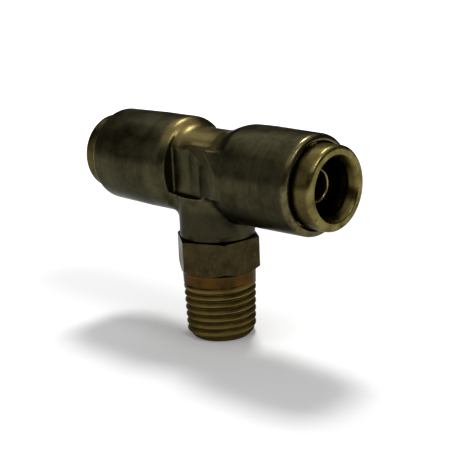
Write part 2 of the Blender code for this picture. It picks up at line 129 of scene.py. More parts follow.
def ramp(tree, factor, *stops):
    """A colour ramp with (place, sRGB hex) stops."""
    node = add(tree, "ValToRGB", {0: factor})
    elements = node.color_ramp.elements
    while len(elements) < len(stops):
        elements.new(1.0)
    for element, (position, code) in zip(elements, stops):
        element.position, element.color = position, linear(code)
    return node.outputs["Color"]


# %% [markdown]
# ## Floor, background and lights
#
# The real part stands on white paper. The floor takes the light and keeps a soft shadow. Where the
# camera, a mirror reflection or a glass ray meets it, a little glow lifts it to paper white, more so
# far away, and the world behind is white to the same rays. Metal shows what it reflects, so a grey
# surround stands round the set, as the dark room stood round the real one. All sizes are in metres.

# %% Floor and surround
FLOOR_RADIUS = 1.6
SURROUND_RADIUS = 0.9
SURROUND_LOW, SURROUND_HIGH = 0.05, 0.85
SURROUND_TONE = "#4C4B47"
NEAR_GLOW, FAR_GLOW = 0.14, 0.75
GLOW_FROM, GLOW_TO = 0.05, 0.26
STAGE_SEGMENTS = 64
FLOOR_COLOUR = "#F4F4F4"
ROOM_LIGHT = 0.22


def seen_directly(tree):
    """1 for camera, glossy and transmission rays, otherwise 0."""
    path = add(tree, "LightPath")
    glossy = add(tree, "Math", {0: path.outputs["Is Camera Ray"], 1: path.outputs["Is Glossy Ray"]},
                 operation="MAXIMUM")
    return add(tree, "Math", {0: glossy.outputs[0], 1: path.outputs["Is Transmission Ray"]},
               operation="MAXIMUM").outputs[0]


def stage_object(name, bm, finish):
    """An object that belongs to the studio and not to the part."""
    mesh = bpy.data.meshes.new(name)
    bm.to_mesh(mesh)
    bm.free()
    mesh.materials.append(finish)
    made = bpy.data.objects.new(name, mesh)
    bpy.context.collection.objects.link(made)
    return made


paper, tree, shader, place = new_material("matt_white_paper", Roughness=0.9)
shader.inputs["Base Color"].default_value = linear(FLOOR_COLOUR)
shader.inputs["Specular IOR Level"].default_value = 0.0
shader.inputs["Emission Color"].default_value = linear("#FFFFFF")
away = add(tree, "VectorMath", {0: place}, operation="LENGTH").outputs["Value"]
lift = add(tree, "MapRange", {0: away, 1: GLOW_FROM, 2: GLOW_TO,
                              3: NEAR_GLOW, 4: FAR_GLOW}).outputs[0]
glow = add(tree, "Math", {0: seen_directly(tree), 1: lift}, operation="MULTIPLY")
tree.links.new(glow.outputs[0], shader.inputs["Emission Strength"])
bm = bmesh.new()
bmesh.ops.create_circle(bm, cap_ends=True, segments=STAGE_SEGMENTS, radius=FLOOR_RADIUS)
stage_object("paper_floor", bm, paper)

grey, tree, shader, _ = new_material("matt_grey_cloth", Roughness=1.0)
shader.inputs["Base Color"].default_value = (0.0, 0.0, 0.0, 1.0)
shader.inputs["Specular IOR Level"].default_value = 0.0
shader.inputs["Emission Color"].default_value = linear(SURROUND_TONE)
shader.inputs["Emission Strength"].default_value = 1.0
bm = bmesh.new()
bmesh.ops.create_circle(bm, cap_ends=False, segments=STAGE_SEGMENTS, radius=SURROUND_RADIUS)
walls = bmesh.ops.extrude_edge_only(bm, edges=bm.edges[:])
top = [item for item in walls["geom"] if isinstance(item, bmesh.types.BMVert)]
bmesh.ops.translate(bm, verts=bm.verts, vec=(0.0, 0.0, SURROUND_LOW))
bmesh.ops.translate(bm, verts=top, vec=(0.0, 0.0, SURROUND_HIGH - SURROUND_LOW))
surround = stage_object("grey_surround", bm, grey)
surround.visible_camera = False
surround.visible_diffuse = False
surround.visible_shadow = False

world = bpy.data.worlds.new("white_room")
bpy.context.scene.world = world
world.use_nodes = True
background = world.node_tree.nodes["Background"]
background.inputs["Color"].default_value = linear("#FFFFFF")
strength = add(world.node_tree, "MapRange", {0: seen_directly(world.node_tree), 3: ROOM_LIGHT, 4: 1.0})
world.node_tree.links.new(strength.outputs[0], background.inputs["Strength"])

# %% [markdown]
# Four soft lamps: one fairly small above and to the right, which draws the short highlights on the
# rims; the strongest overhead and a little behind, so that the shadow falls forwards; and two weak
# wide ones, from behind on the left and from the front left, which keep the dark sides readable.

# %% Lamps
def lamp(name, direction, distance, size, power):
    """A square area lamp that looks at the part from a direction."""
    data = bpy.data.lights.new(name, "AREA")
    data.shape, data.size, data.energy = "SQUARE", size, power
    made = bpy.data.objects.new(name, data)
    way = Vector(direction).normalized()
    made.location = CAMERA_TARGET + way * distance
    made.rotation_euler = (-way).to_track_quat("-Z", "Y").to_euler()
    bpy.context.collection.objects.link(made)
    return made


lamp("key_softbox", (0.62, -0.09, 0.76), 0.6, 0.17, 0.95)
lamp("overhead_softbox", (-0.24, 0.38, 1.0), 0.7, 0.15, 3.2)
lamp("back_strip", (-0.66, 0.26, 0.70), 0.7, 0.26, 0.3)
lamp("front_fill", (-0.8, -0.9, 0.5), 0.8, 0.4, 0.3)

# %% [markdown]
# ## Sizes
#
# The pieces stay where the CAD has them, so its sizes are repeated here, in millimetres. They are
# kept in one place, and each cell below uses the same names.

# %% Sizes
AXIS = 31.97                 # run axis above the floor
GUIDE, BITE = 4.9525, 4.6125  # radii of the bores round the tube, and of the barbs' tips
HUB, CROWN = 7.7, 7.31        # radii of the upright boss, and of its round top
BARREL_END, BARREL_END_RADIUS = 24.89, 8.8925
PASSAGE, PASSAGE_END, SUPPORT_SEAT = 2.6, 5.16, 3.7
GLAND, SOCKET, HOUSING = 6.5125, 7.7025, 7.4025
CHAMBER, THROAT, SLEEVE = 6.8025, 5.9025, 5.6025
STOP, GLAND_START, SEAL_CENTRE = 9.36, 11.76, 12.91
SPACER_START, SPACER_END, FINGER_END = 14.06, 15.36, 17.46
HOUSING_START, HOUSING_END = 15.96, 22.56
BUTTON_BACK, BUTTON_FACE, BUTTON = 24.66, 28.77, 7.4025
FLATS, FLAT_DROP = 5.93, 4.1   # a wrench flat's distance from the axis, and how far down it goes
COLLAR, COLLAR_TOP, COLLAR_END = 7.03, 6.2, 12.31
BRANCH_BORE, RING_GROOVE, BRANCH_TOP = 5.9, 6.45, 27.46
GROOVE_LOW, GROOVE_HIGH = 20.36, 21.76
STEM_BORE, STEM_MOUTH = 3.0, 3.8
SIDES = {"right": 1, "left": -1}
print("the button stands", round(BUTTON_FACE - BARREL_END, 2), "mm out of its barrel")


# %% [markdown]
# ## Helpers for turned pieces
#
# Nearly every piece here is turned on a lathe, so one function does the turning: it draws half of
# the section as a line, rounds the corners that have a radius with a vertex bevel, and spins it.

# %% Helpers for shapes
SEGMENTS, RING_SEGMENTS = 128, 96
CORNER_STEPS = 4
SHARP = radians(32.0)
CLOSE = 0.0004 * MM


def to_object(name, bm):
    """Make an object of a finished bmesh, smooth but for its sharp edges."""
    bmesh.ops.remove_doubles(bm, verts=bm.verts, dist=CLOSE)
    bmesh.ops.dissolve_degenerate(bm, edges=bm.edges, dist=CLOSE)
    bmesh.ops.recalc_face_normals(bm, faces=bm.faces)
    mesh = bpy.data.meshes.new(name)
    bm.to_mesh(mesh)
    bm.free()
    mesh.shade_smooth()
    mesh.set_sharp_from_angle(angle=SHARP)
    made = bpy.data.objects.new(name, mesh)
    bpy.context.collection.objects.link(made)
    return made


def round_corner(bm, vert, radius):
    """Round one corner of a drawn line."""
    one, two = [(edge.other_vert(vert).co - vert.co) for edge in vert.link_edges]
    reach = radius * MM / tan(one.angle(two) / 2)
    bmesh.ops.bevel(bm, geom=[vert], offset=reach, offset_type="OFFSET", segments=CORNER_STEPS,
                    profile=0.5, affect="VERTICES", material=-1)


def turned(name, points, axis="X", side=1, segments=SEGMENTS, closed=True):
    """Turn a section of (along, out) or (along, out, corner radius) points, in mm, about X or Z."""
    bm = bmesh.new()
    if axis == "X":
        verts = [bm.verts.new((side * p[0] * MM, 0.0, p[1] * MM)) for p in points]
        about = (1.0, 0.0, 0.0)
    else:
        verts = [bm.verts.new((p[1] * MM, 0.0, p[0] * MM)) for p in points]
        about = (0.0, 0.0, 1.0)
    for pair in zip(verts, verts[1:]):
        bm.edges.new(pair)
    if closed:
        bm.edges.new((verts[-1], verts[0]))
    for vert, point in zip(verts, points):
        if len(point) > 2:
            round_corner(bm, vert, point[2])
    bmesh.ops.spin(bm, geom=bm.verts[:] + bm.edges[:], cent=(0.0, 0.0, 0.0), axis=about,
                   angle=2 * pi, steps=segments, use_merge=True)
    if axis == "X":
        bmesh.ops.translate(bm, verts=bm.verts, vec=(0.0, 0.0, AXIS * MM))
    return to_object(name, bm)


def turned_bar(name, points, axis="X", **options):
    """Turn a solid piece whose section ends on the axis."""
    ends = [(points[0][0], 0.0), *points, (points[-1][0], 0.0)]
    return turned(name, ends, axis, closed=False, **options)


def block(name, low, high):
    """A box between two corners in mm."""
    bm = bmesh.new()
    bmesh.ops.create_cube(bm, size=1.0)
    low, high = Vector(low) * MM, Vector(high) * MM
    place = Matrix.Translation((low + high) / 2) @ Matrix.Diagonal((*(high - low), 1.0))
    bmesh.ops.transform(bm, verts=bm.verts, matrix=place)
    return to_object(name, bm)


def upright_prism(name, outline, low, high):
    """Raise an outline of (x, y) points between two heights, all in mm."""
    bm = bmesh.new()
    floor = bm.faces.new([bm.verts.new((x * MM, y * MM, low * MM)) for x, y in outline])
    lifted = bmesh.ops.extrude_face_region(bm, geom=[floor])
    top = [item for item in lifted["geom"] if isinstance(item, bmesh.types.BMVert)]
    bmesh.ops.translate(bm, verts=top, vec=(0.0, 0.0, (high - low) * MM))
    return to_object(name, bm)


def settle(piece):
    """Apply a piece's modifiers to its mesh."""
    graph = bpy.context.evaluated_depsgraph_get()
    mesh = bpy.data.meshes.new_from_object(piece.evaluated_get(graph))
    piece.modifiers.clear()
    piece.data = mesh


def combine(piece, tool, operation):
    """Cut with a tool, join it on, or keep what both share, and throw the tool away."""
    modifier = piece.modifiers.new("combine", "BOOLEAN")
    modifier.operation, modifier.solver, modifier.object = operation, "MANIFOLD", tool
    settle(piece)
    bpy.data.objects.remove(tool)


def crisp(piece):
    """Shade a cut piece smooth, but for its sharp edges."""
    piece.data.shade_smooth()
    piece.data.set_sharp_from_angle(angle=SHARP)


def mirrored(half):
    """A section's right half and its mirror image."""
    return [(-point[0], *point[1:]) for point in reversed(half[1:])] + half[1:]


def finished(piece, finish, body, node):
    """Give a piece its finish and its body, and hide the CAD node that it stands for."""
    piece.data.materials.clear()
    piece.data.materials.append(finish)
    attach(piece, body)
    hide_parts(node)
    print(piece.name, "has", len(piece.data.polygons), "faces")


# %% [markdown]
# ## The forged body
#
# The body is forged, then machined. A forging has no sharp inner corners: the boss, the shoulders
# and the branch flow together. So the hub is first put together from plain solids: the shoulders
# that run up to each barrel, an upright boss with a round top, and two cheeks that fill the front
# and back of the right hand shoulder. Then it is remeshed as a fine skin, swollen and shrunk again,
# which fills its inner corners with a fillet.

# %% Hub of the forging
HUB_VOXEL = 0.16
FILLET = 1.7
RELAX_STEPS = 13
REACH = 12.0                 # well outside the hub on every side


def reskin(piece, voxel, swell=0.0, smooth=0):
    """Give a solid an even fine skin, then move the skin outwards and smooth it."""
    remesh = piece.modifiers.new("skin", "REMESH")
    remesh.mode, remesh.voxel_size = "VOXEL", voxel * MM
    if swell:
        move = piece.modifiers.new("swell", "DISPLACE")
        move.strength, move.mid_level = swell * MM, 0.0
    if smooth:
        relax = piece.modifiers.new("relax", "SMOOTH")
        relax.factor, relax.iterations = 0.5, smooth
    settle(piece)


SKIN_END = 12.4
LEFT_SHOULDER = [
    (-SKIN_END, 8.75), (-SKIN_END + 1.2, 9.04), (-9.6, 9.07), (-6.6, 9.07), (-5.9, 8.98), (-5.3, 8.6),
    (-4.7, 8.0), (-4.2, 7.58), (-3.7, 7.34),
]
RIGHT_SHOULDER = [
    (2.5, CROWN), (4.0, 7.4), (5.0, 7.6), (6.0, 7.9), (7.0, 8.28), (8.0, 8.66), (9.0, 8.92),
    (9.8, 9.04), (SKIN_END - 1.2, 9.04), (SKIN_END, 8.75),
]
CHEEK_RADIUS, CHEEK_END = 9.06, 9.6
CHEEK_LOW, CHEEK_HIGH = AXIS - 3.4, AXIS + 5.2
CHEEK = [(-0.5, 0.0), (-0.5, 6.3), (2.5, 7.0), (CHEEK_END, 9.9), (CHEEK_END, 0.0)]

body = turned_bar("forged_tee_body", LEFT_SHOULDER + RIGHT_SHOULDER)
boss = turned_bar("boss", [
    (AXIS + HUB + 0.5, HUB), (AXIS - FLAT_DROP, HUB), (AXIS - COLLAR_TOP, COLLAR),
    (AXIS - COLLAR_END + 0.5, COLLAR),
], "Z")
crown = turned_bar("crown", [(-REACH, CROWN), (REACH, CROWN)])
combine(crown, block("skirt", (-REACH, -REACH, AXIS - 20.0), (REACH, REACH, AXIS)), "UNION")
combine(boss, crown, "INTERSECT")
combine(body, boss, "UNION")
for face in (-1, 1):
    cheek = upright_prism("cheek", [(x, face * y) for x, y in CHEEK], CHEEK_LOW, CHEEK_HIGH)
    limit = turned_bar("limit", [(-1.0, CHEEK_RADIUS), (CHEEK_END + 1.0, CHEEK_RADIUS)])
    combine(cheek, limit, "INTERSECT")
    combine(body, cheek, "UNION")
reskin(body, HUB_VOXEL, FILLET)
reskin(body, HUB_VOXEL, -FILLET)
print("hub skin:", len(body.data.polygons), "faces")

# %% [markdown]
# The spanner's pocket is milled in front and at the back: an upright flat that turns into a ramp
# towards the right hand barrel, and above it a shallow scoop that runs out towards the top of the
# hub. Its end wall is the dark band beside the left hand barrel.

# %% Wrench pockets
FLAT_START, RAMP_START = -4.9, -0.6
POCKET = [
    (FLAT_START, REACH), (FLAT_START, FLATS), (RAMP_START, FLATS), (2.5, 6.5), (CHEEK_END, 9.4),
    (CHEEK_END, REACH),
]
POCKET_LOW, POCKET_HIGH = AXIS - FLAT_DROP, AXIS + 9.0
SCOOP_HALF, SCOOP_LOW = 4.9, AXIS + 2.0
SCOOP_SIDE, SCOOP_TOP = 6.95, 8.5

scoop = block("scoop", (-SCOOP_HALF, -REACH, SCOOP_LOW), (SCOOP_HALF, REACH, AXIS + REACH))
tunnel = turned_bar("tunnel", [(-REACH, SCOOP_TOP), (REACH, SCOOP_TOP)])
tunnel.data.transform(Matrix.Diagonal((1.0, SCOOP_SIDE / SCOOP_TOP, 1.0, 1.0)))
combine(scoop, tunnel, "DIFFERENCE")
combine(body, scoop, "DIFFERENCE")
for face in (-1, 1):
    pocket = upright_prism("pocket", [(x, face * y) for x, y in POCKET], POCKET_LOW, POCKET_HIGH)
    combine(body, pocket, "DIFFERENCE")
reskin(body, HUB_VOXEL, smooth=RELAX_STEPS)
print("hub skin:", len(body.data.polygons), "faces")

# %% [markdown]
# The barrels and the end of the branch are machined after forging, so they are turned here, and the
# hub's skin dives under them. Then all the bores are cut in one go.

# %% Barrels, collar and bores
RIM_ROUND = 0.9

for side in (-1, 1):
    barrel = turned_bar("barrel", [
        (SKIN_END - 3.0, 8.98), (SKIN_END - 1.2, 9.07), (SKIN_END + 1.5, 9.095),
        (BARREL_END, BARREL_END_RADIUS, RIM_ROUND),
    ], side=side)
    combine(body, barrel, "UNION")
collar = turned_bar("collar", [
    (AXIS - COLLAR_END + 1.8, COLLAR - 0.08), (AXIS - COLLAR_END + 1.2, COLLAR - 0.005),
    (AXIS - COLLAR_END, COLLAR, 0.08),
], "Z")
combine(body, collar, "UNION")
bores = turned_bar("bores", mirrored([
    (0.0, PASSAGE), (PASSAGE_END, PASSAGE), (PASSAGE_END, SUPPORT_SEAT), (STOP, SUPPORT_SEAT),
    (STOP, GUIDE), (GLAND_START, GUIDE),
    (GLAND_START, GLAND), (SPACER_END + 0.3, GLAND), (SPACER_END + 0.3, SOCKET),
    (BARREL_END - 0.1, SOCKET), (BARREL_END + 0.1, SOCKET + 0.2),
]))
combine(body, bores, "DIFFERENCE")
branch = turned_bar("branch_bore", [
    (AXIS, STEM_BORE), (BRANCH_TOP, STEM_BORE), (BRANCH_TOP, BRANCH_BORE), (GROOVE_HIGH, BRANCH_BORE),
    (GROOVE_HIGH, RING_GROOVE), (GROOVE_LOW, RING_GROOVE), (GROOVE_LOW, BRANCH_BORE),
    (20.01, BRANCH_BORE, 0.1), (19.31, 6.6),
], "Z")
combine(body, branch, "DIFFERENCE")
crisp(body)

# %% [markdown]
# ## The swivel stem
#
# The stem is one bar of brass: a hexagon for the spanner, a taper pipe thread below it and, hidden
# in the branch, a spigot with a groove for the snap ring and one for the seal. The hexagon is a
# six-sided prism trimmed by a turned guide, which leaves the round chamfers of hexagon bar.

# %% Blank and hexagon of the stem
HEX_TOP, HEX_BOTTOM = 19.36, 12.91
HEX_FLATS, HEX_TURN = 7.145, -37.0
THREAD_RADIUS, THREAD_SLOPE = 6.9, 1 / 32
SPIGOT_TOP, SPIGOT, SPIGOT_EDGE = 26.06, 5.6, 0.08
RING_SEAT, SEAL_SEAT = 4.55, 3.9
SEAL_LOW, SEAL_HIGH = 22.36, 25.36
CORNER_BREAK = 0.12


def thread_radius(height):
    """Radius over the thread's crests at a height above the floor."""
    return THREAD_RADIUS - (HEX_BOTTOM - height) * THREAD_SLOPE


stem = turned_bar("threaded_swivel_stem", [
    (0.0, 5.5, 0.15), (1.3, thread_radius(1.3)), (HEX_BOTTOM, THREAD_RADIUS), (HEX_TOP, THREAD_RADIUS),
    (HEX_TOP, SPIGOT), (GROOVE_LOW, SPIGOT, SPIGOT_EDGE), (GROOVE_LOW, RING_SEAT),
    (GROOVE_HIGH, RING_SEAT), (GROOVE_HIGH, SPIGOT, SPIGOT_EDGE), (SEAL_LOW, SPIGOT, SPIGOT_EDGE),
    (SEAL_LOW, SEAL_SEAT), (SEAL_HIGH, SEAL_SEAT), (SEAL_HIGH, SPIGOT, SPIGOT_EDGE),
    (SPIGOT_TOP, SPIGOT, 0.25),
], "Z")
bm = bmesh.new()
corner = HEX_FLATS / cos(pi / 6)
bmesh.ops.create_cone(bm, cap_ends=True, segments=6, radius1=corner * MM, radius2=corner * MM,
                      depth=(HEX_TOP - HEX_BOTTOM) * MM)
first = bm.verts[:][0].co.copy()
turn = Matrix.Rotation(radians(HEX_TURN) + Vector((1.0, 0.0)).angle_signed(first.xy), 4, "Z")
middle = Matrix.Translation((0.0, 0.0, (HEX_TOP + HEX_BOTTOM) / 2 * MM))
bmesh.ops.transform(bm, verts=bm.verts, matrix=middle @ turn)
upright = [edge for edge in bm.edges if abs(edge.verts[0].co.z - edge.verts[1].co.z) > MM]
bmesh.ops.bevel(bm, geom=upright, offset=CORNER_BREAK * MM, segments=2, profile=0.5, affect="EDGES",
                material=-1)
hexagon = to_object("hexagon", bm)
combine(hexagon, turned_bar("trim", [
    (HEX_BOTTOM, HEX_FLATS - 0.1), (HEX_BOTTOM + 0.9, corner), (HEX_BOTTOM + 1.0, corner + 0.3),
    (HEX_TOP - 0.25, corner + 0.3), (HEX_TOP - 0.2, corner + 0.02), (HEX_TOP, corner - 0.18),
], "Z"), "INTERSECT")
combine(stem, hexagon, "UNION")
print("corner of the hexagon at", [round(v / MM, 2) for v in (turn @ first.to_4d()).xy])

# %% [markdown]
# The thread is cut as on a lathe: a pointed tool goes round the taper and up one pitch a turn. The
# tool's path is a spin with a lift for each step. Its section is drawn at the crest's radius, then
# every point is drawn in by the taper, and eased out over the last turn, where a real tool leaves
# the metal below the hexagon.

# %% Thread
PITCH = 1.411
THREAD_DEPTH = 0.62
THREAD_TOP = 10.9
TOOL_HALF_WIDTH, TOOL_HALF_TIP = 0.6, 0.06
TOOL_OVER = 0.2              # how far the tool stands out over the crests
TURN_STEPS = 96
TURNS = 9

bm = bmesh.new()
start = THREAD_TOP - TURNS * PITCH
section = [bm.verts.new((out * MM, 0.0, (start + up) * MM)) for out, up in (
    (THREAD_RADIUS - THREAD_DEPTH, -TOOL_HALF_TIP),
    (THREAD_RADIUS + TOOL_OVER, -TOOL_HALF_WIDTH - TOOL_OVER),
    (THREAD_RADIUS + TOOL_OVER, TOOL_HALF_WIDTH + TOOL_OVER),
    (THREAD_RADIUS - THREAD_DEPTH, TOOL_HALF_TIP),
)]
bm.faces.new(section)
bmesh.ops.spin(bm, geom=bm.faces[:] + bm.edges[:] + bm.verts[:], cent=(0.0, 0.0, 0.0),
               axis=(0.0, 0.0, 1.0), dvec=(0.0, 0.0, PITCH * MM / TURN_STEPS),
               angle=2 * pi * TURNS, steps=TURNS * TURN_STEPS)
for vert in bm.verts:
    height, reach = vert.co.z / MM, vert.co.xy.length / MM
    leave = max(0.0, (height - (THREAD_TOP - PITCH)) / PITCH) * THREAD_DEPTH
    scale = (reach + thread_radius(height) - THREAD_RADIUS + leave) / reach
    vert.co.x *= scale
    vert.co.y *= scale
tool = to_object("thread_tool", bm)
print("thread tool from", round(min(v.co.z for v in tool.data.vertices) / MM, 2),
      "to", round(max(v.co.z for v in tool.data.vertices) / MM, 2), "mm")
combine(stem, tool, "DIFFERENCE")
combine(stem, turned_bar("stem_bore", [
    (-0.4, STEM_MOUTH), (0.4, STEM_BORE), (SPIGOT_TOP - 0.4, STEM_BORE), (SPIGOT_TOP + 0.4, STEM_MOUTH),
], "Z"), "DIFFERENCE")
crisp(stem)

# %% [markdown]
# ## Release buttons
#
# Each port's button and the sleeve behind it are one turned piece. Its inner end has two rows of
# barbs and a cone outside, and six saw cuts make fingers of it, which the housing's cone closes on
# the tube. Pushing the button in frees them.

# %% Release buttons
CONE_LENGTH, CONE_GAP = 2.7, 0.3
CONE_SLOPE = (CHAMBER - THROAT) / CONE_LENGTH
THROAT_LENGTH = 2.2
CONE_START = HOUSING_END - THROAT_LENGTH - CONE_LENGTH
HEAD = CHAMBER - 0.5
MOUTH, MOUTH_DEPTH = GUIDE + 0.85, 1.7
BARB_PITCH, BARB_FACE = 0.6, 0.1
SLOT_HALF, SLOT_LENGTH = 0.4, 5.2


def release_button(name, side):
    """One release button with its slit sleeve."""
    edge = CHAMBER - CONE_GAP * (1 + CONE_SLOPE ** 2) ** 0.5
    second = FINGER_END + BARB_PITCH
    made = turned(name, [
        (FINGER_END, HEAD, 0.12), (CONE_START + (edge - HEAD) / CONE_SLOPE, HEAD, 0.3),
        (CONE_START + (edge - SLEEVE) / CONE_SLOPE, SLEEVE, 0.3), (BUTTON_BACK, SLEEVE, 0.15),
        (BUTTON_BACK, BUTTON, 0.15), (BUTTON_FACE, BUTTON, 0.75), (BUTTON_FACE, MOUTH, 0.3),
        (BUTTON_FACE - MOUTH_DEPTH, GUIDE, 0.8), (second + BARB_PITCH, GUIDE),
        (second + BARB_FACE, BITE, 0.04), (second, GUIDE), (FINGER_END + BARB_FACE, BITE, 0.04),
        (FINGER_END, GUIDE),
    ], side=side)
    near, far = sorted((side * (FINGER_END - 1.0), side * (FINGER_END + SLOT_LENGTH)))
    for cut in range(3):
        saw = block("saw", (near, -SLOT_HALF, -9.0), (far, SLOT_HALF, 9.0))
        saw.data.transform(Matrix.Translation((0.0, 0.0, AXIS * MM)) @
                           Matrix.Rotation(pi * (cut + 0.5) / 3, 4, "X"))
        combine(made, saw, "DIFFERENCE")
    crisp(made)
    return made


buttons = {name: release_button(f"release_button_{name}", side) for name, side in SIDES.items()}

# %% [markdown]
# ## Rings and sleeves inside
#
# The ports and the branch hold small turned rings. They are hardly seen, but the part can be opened
# or cut in two, so they are as careful as the rest: edges broken, seals round in section.

# %% Rings and sleeves
def circle(along, out, section, corners=24):
    """The round section of a seal or a wire."""
    steps = [2 * pi * i / corners for i in range(corners)]
    return [(along + section / 2 * cos(a), out + section / 2 * sin(a)) for a in steps]


def flat_ring(start, end, inner, outer, edge=0.12):
    """The section of a flat ring with broken edges."""
    return [(start, inner, edge), (start, outer, edge), (end, outer, edge), (end, inner, edge)]


housing_section = [
    (HOUSING_START, CHAMBER, 0.1), (HOUSING_START, HOUSING, 0.15), (HOUSING_END, HOUSING, 0.15),
    (HOUSING_END, THROAT, 0.2), (HOUSING_END - THROAT_LENGTH, THROAT, 0.2),
    (CONE_START, CHAMBER, 0.2),
]
SUPPORT_START, SUPPORT_RIM = 5.46, 24.57
SUPPORT_BORE, SUPPORT, SUPPORT_FOOT = 2.5, 3.05, 3.4
support_section = [
    (SUPPORT_START, SUPPORT_BORE, 0.2), (SUPPORT_START, SUPPORT_FOOT, 0.2),
    (STOP - 0.3, SUPPORT_FOOT, 0.2), (STOP - 0.3, SUPPORT, 0.05),
    (SUPPORT_RIM, SUPPORT, 0.26), (SUPPORT_RIM, SUPPORT_BORE, 0.26),
]
SPACER, SEAL_MIDDLE, SEAL_SECTION = 6.2125, 5.4625, 1.7
port_rings = {}
for name, side in SIDES.items():
    port_rings[name] = {
        "collet_housing": turned(f"grip_sleeve_{name}", housing_section, side=side),
        "tube_support": turned(f"tube_insert_{name}", support_section, side=side,
                               segments=RING_SEGMENTS),
        "spacer_ring": turned(f"guide_ring_{name}", flat_ring(SPACER_START, SPACER_END, GUIDE, SPACER),
                              side=side, segments=RING_SEGMENTS),
        "tube_seal": turned(f"tube_o_ring_{name}", circle(SEAL_CENTRE, SEAL_MIDDLE, SEAL_SECTION),
                            side=side, segments=RING_SEGMENTS),
    }
washer = turned("thrust_ring", flat_ring(26.36, 27.16, 3.8, SPIGOT), "Z", segments=RING_SEGMENTS)
backup = turned("seal_backup", flat_ring(22.56, 23.36, 4.1, 5.7, 0.08), "Z", segments=RING_SEGMENTS)
o_ring = turned("stem_o_ring", circle(24.36, 4.9, 1.6), "Z", segments=RING_SEGMENTS)

# %% [markdown]
# The snap ring is a piece of round spring wire, bent to a circle with a small opening. A disc spun
# through less than a full turn makes it, and a bevel rounds its two cut ends.

# %% Snap ring
WIRE_Z, WIRE_CENTRE, WIRE, WIRE_OPENING = 21.06, 5.75, 1.0, 24.0
WIRE_CORNERS, WIRE_STEPS = 20, 90

bm = bmesh.new()
ring = [bm.verts.new((out * MM, 0.0, (WIRE_Z + along) * MM))
        for along, out in circle(0.0, WIRE_CENTRE, WIRE, WIRE_CORNERS)]
disc = bm.faces.new(ring)
bmesh.ops.rotate(bm, verts=ring, matrix=Matrix.Rotation(radians(WIRE_OPENING / 2), 3, "Z"))
bmesh.ops.spin(bm, geom=[disc], axis=(0.0, 0.0, 1.0), angle=radians(360 - WIRE_OPENING),
               steps=WIRE_STEPS)
ends = [face for face in bm.faces if len(face.verts) == WIRE_CORNERS]
rims = [edge for face in ends for edge in face.edges]
bmesh.ops.bevel(bm, geom=rims, offset=CORNER_BREAK * MM, segments=2, profile=0.5, affect="EDGES",
                material=-1)
wire = to_object("snap_wire", bm)

# %% [markdown]
# ## Finishes: patterns
#
# Every finish here is built from the same few patterns. Blotches of tarnish are slow noise. The grain
# of a forging is fine noise. A lathe leaves rings, so its marks are noise that is drawn from only two
# numbers, the place along the axis and the distance from it, and so they run round the piece.

# %% Helpers for finishes
def noise(tree, place, size, detail=2.0, roughness=0.5):
    """Noise from 0 to 1 with features of a size in mm."""
    return add(tree, "TexNoise", {"Vector": place, "Scale": per(size), "Detail": detail,
                                  "Roughness": roughness}).outputs["Fac"]


def maths(tree, operation, one, two=0.0):
    """One sum of two values or sockets."""
    return add(tree, "Math", {0: one, 1: two}, operation=operation).outputs[0]


def span(tree, value, low, high, start=0.0, end=1.0):
    """Map a value's span from low to high onto start to end, with soft ends."""
    return add(tree, "MapRange", {0: value, 1: low, 2: high, 3: start, 4: end},
               interpolation_type="SMOOTHSTEP").outputs[0]


def blend(tree, factor, one, two):
    """Mix two colours, each a socket or an sRGB hex."""
    one, two = [linear(c) if isinstance(c, str) else c for c in (one, two)]
    return add(tree, "Mix", {0: factor, 6: one, 7: two}, data_type="RGBA").outputs[2]


def shaded(tree, factor, colour, marks, dark):
    """Darken a colour between the marks of a tool, by a factor."""
    tone = blend(tree, span(tree, marks, 0.3, 0.7), dark, "#FFFFFF")
    return add(tree, "Mix", {0: factor, 6: colour, 7: tone}, data_type="RGBA",
               blend_type="MULTIPLY").outputs[2]


def lathe(tree, place, axis):
    """A turned piece's own coordinates: along its axis, out from it, and both as a vector."""
    if axis == "X":
        place = add(tree, "Mapping", {"Vector": place,
                                      "Location": (0.0, 0.0, -AXIS * MM)}).outputs["Vector"]
    parts = add(tree, "SeparateXYZ", {0: place}).outputs
    along = parts[axis]
    across = (parts["Y"], parts["Z"]) if axis == "X" else (parts["X"], parts["Y"])
    flat = add(tree, "CombineXYZ", {0: across[0], 1: across[1]}).outputs[0]
    out = add(tree, "VectorMath", {0: flat}, operation="LENGTH").outputs["Value"]
    rings = add(tree, "CombineXYZ", {0: along, 1: out}).outputs[0]
    return along, out, rings


def finish_with(tree, shader, colour, roughness, *reliefs):
    """Plug a colour, a roughness and a chain of (height, depth in mm, strength) bumps into a shader."""
    tree.links.new(colour, shader.inputs["Base Color"])
    tree.links.new(roughness, shader.inputs["Roughness"])
    normal = None
    for height, depth, strength in reliefs:
        settings = {"Height": height, "Distance": depth * MM, "Strength": strength}
        if normal:
            settings["Normal"] = normal
        normal = add(tree, "Bump", settings).outputs[0]
    tree.links.new(normal, shader.inputs["Normal"])
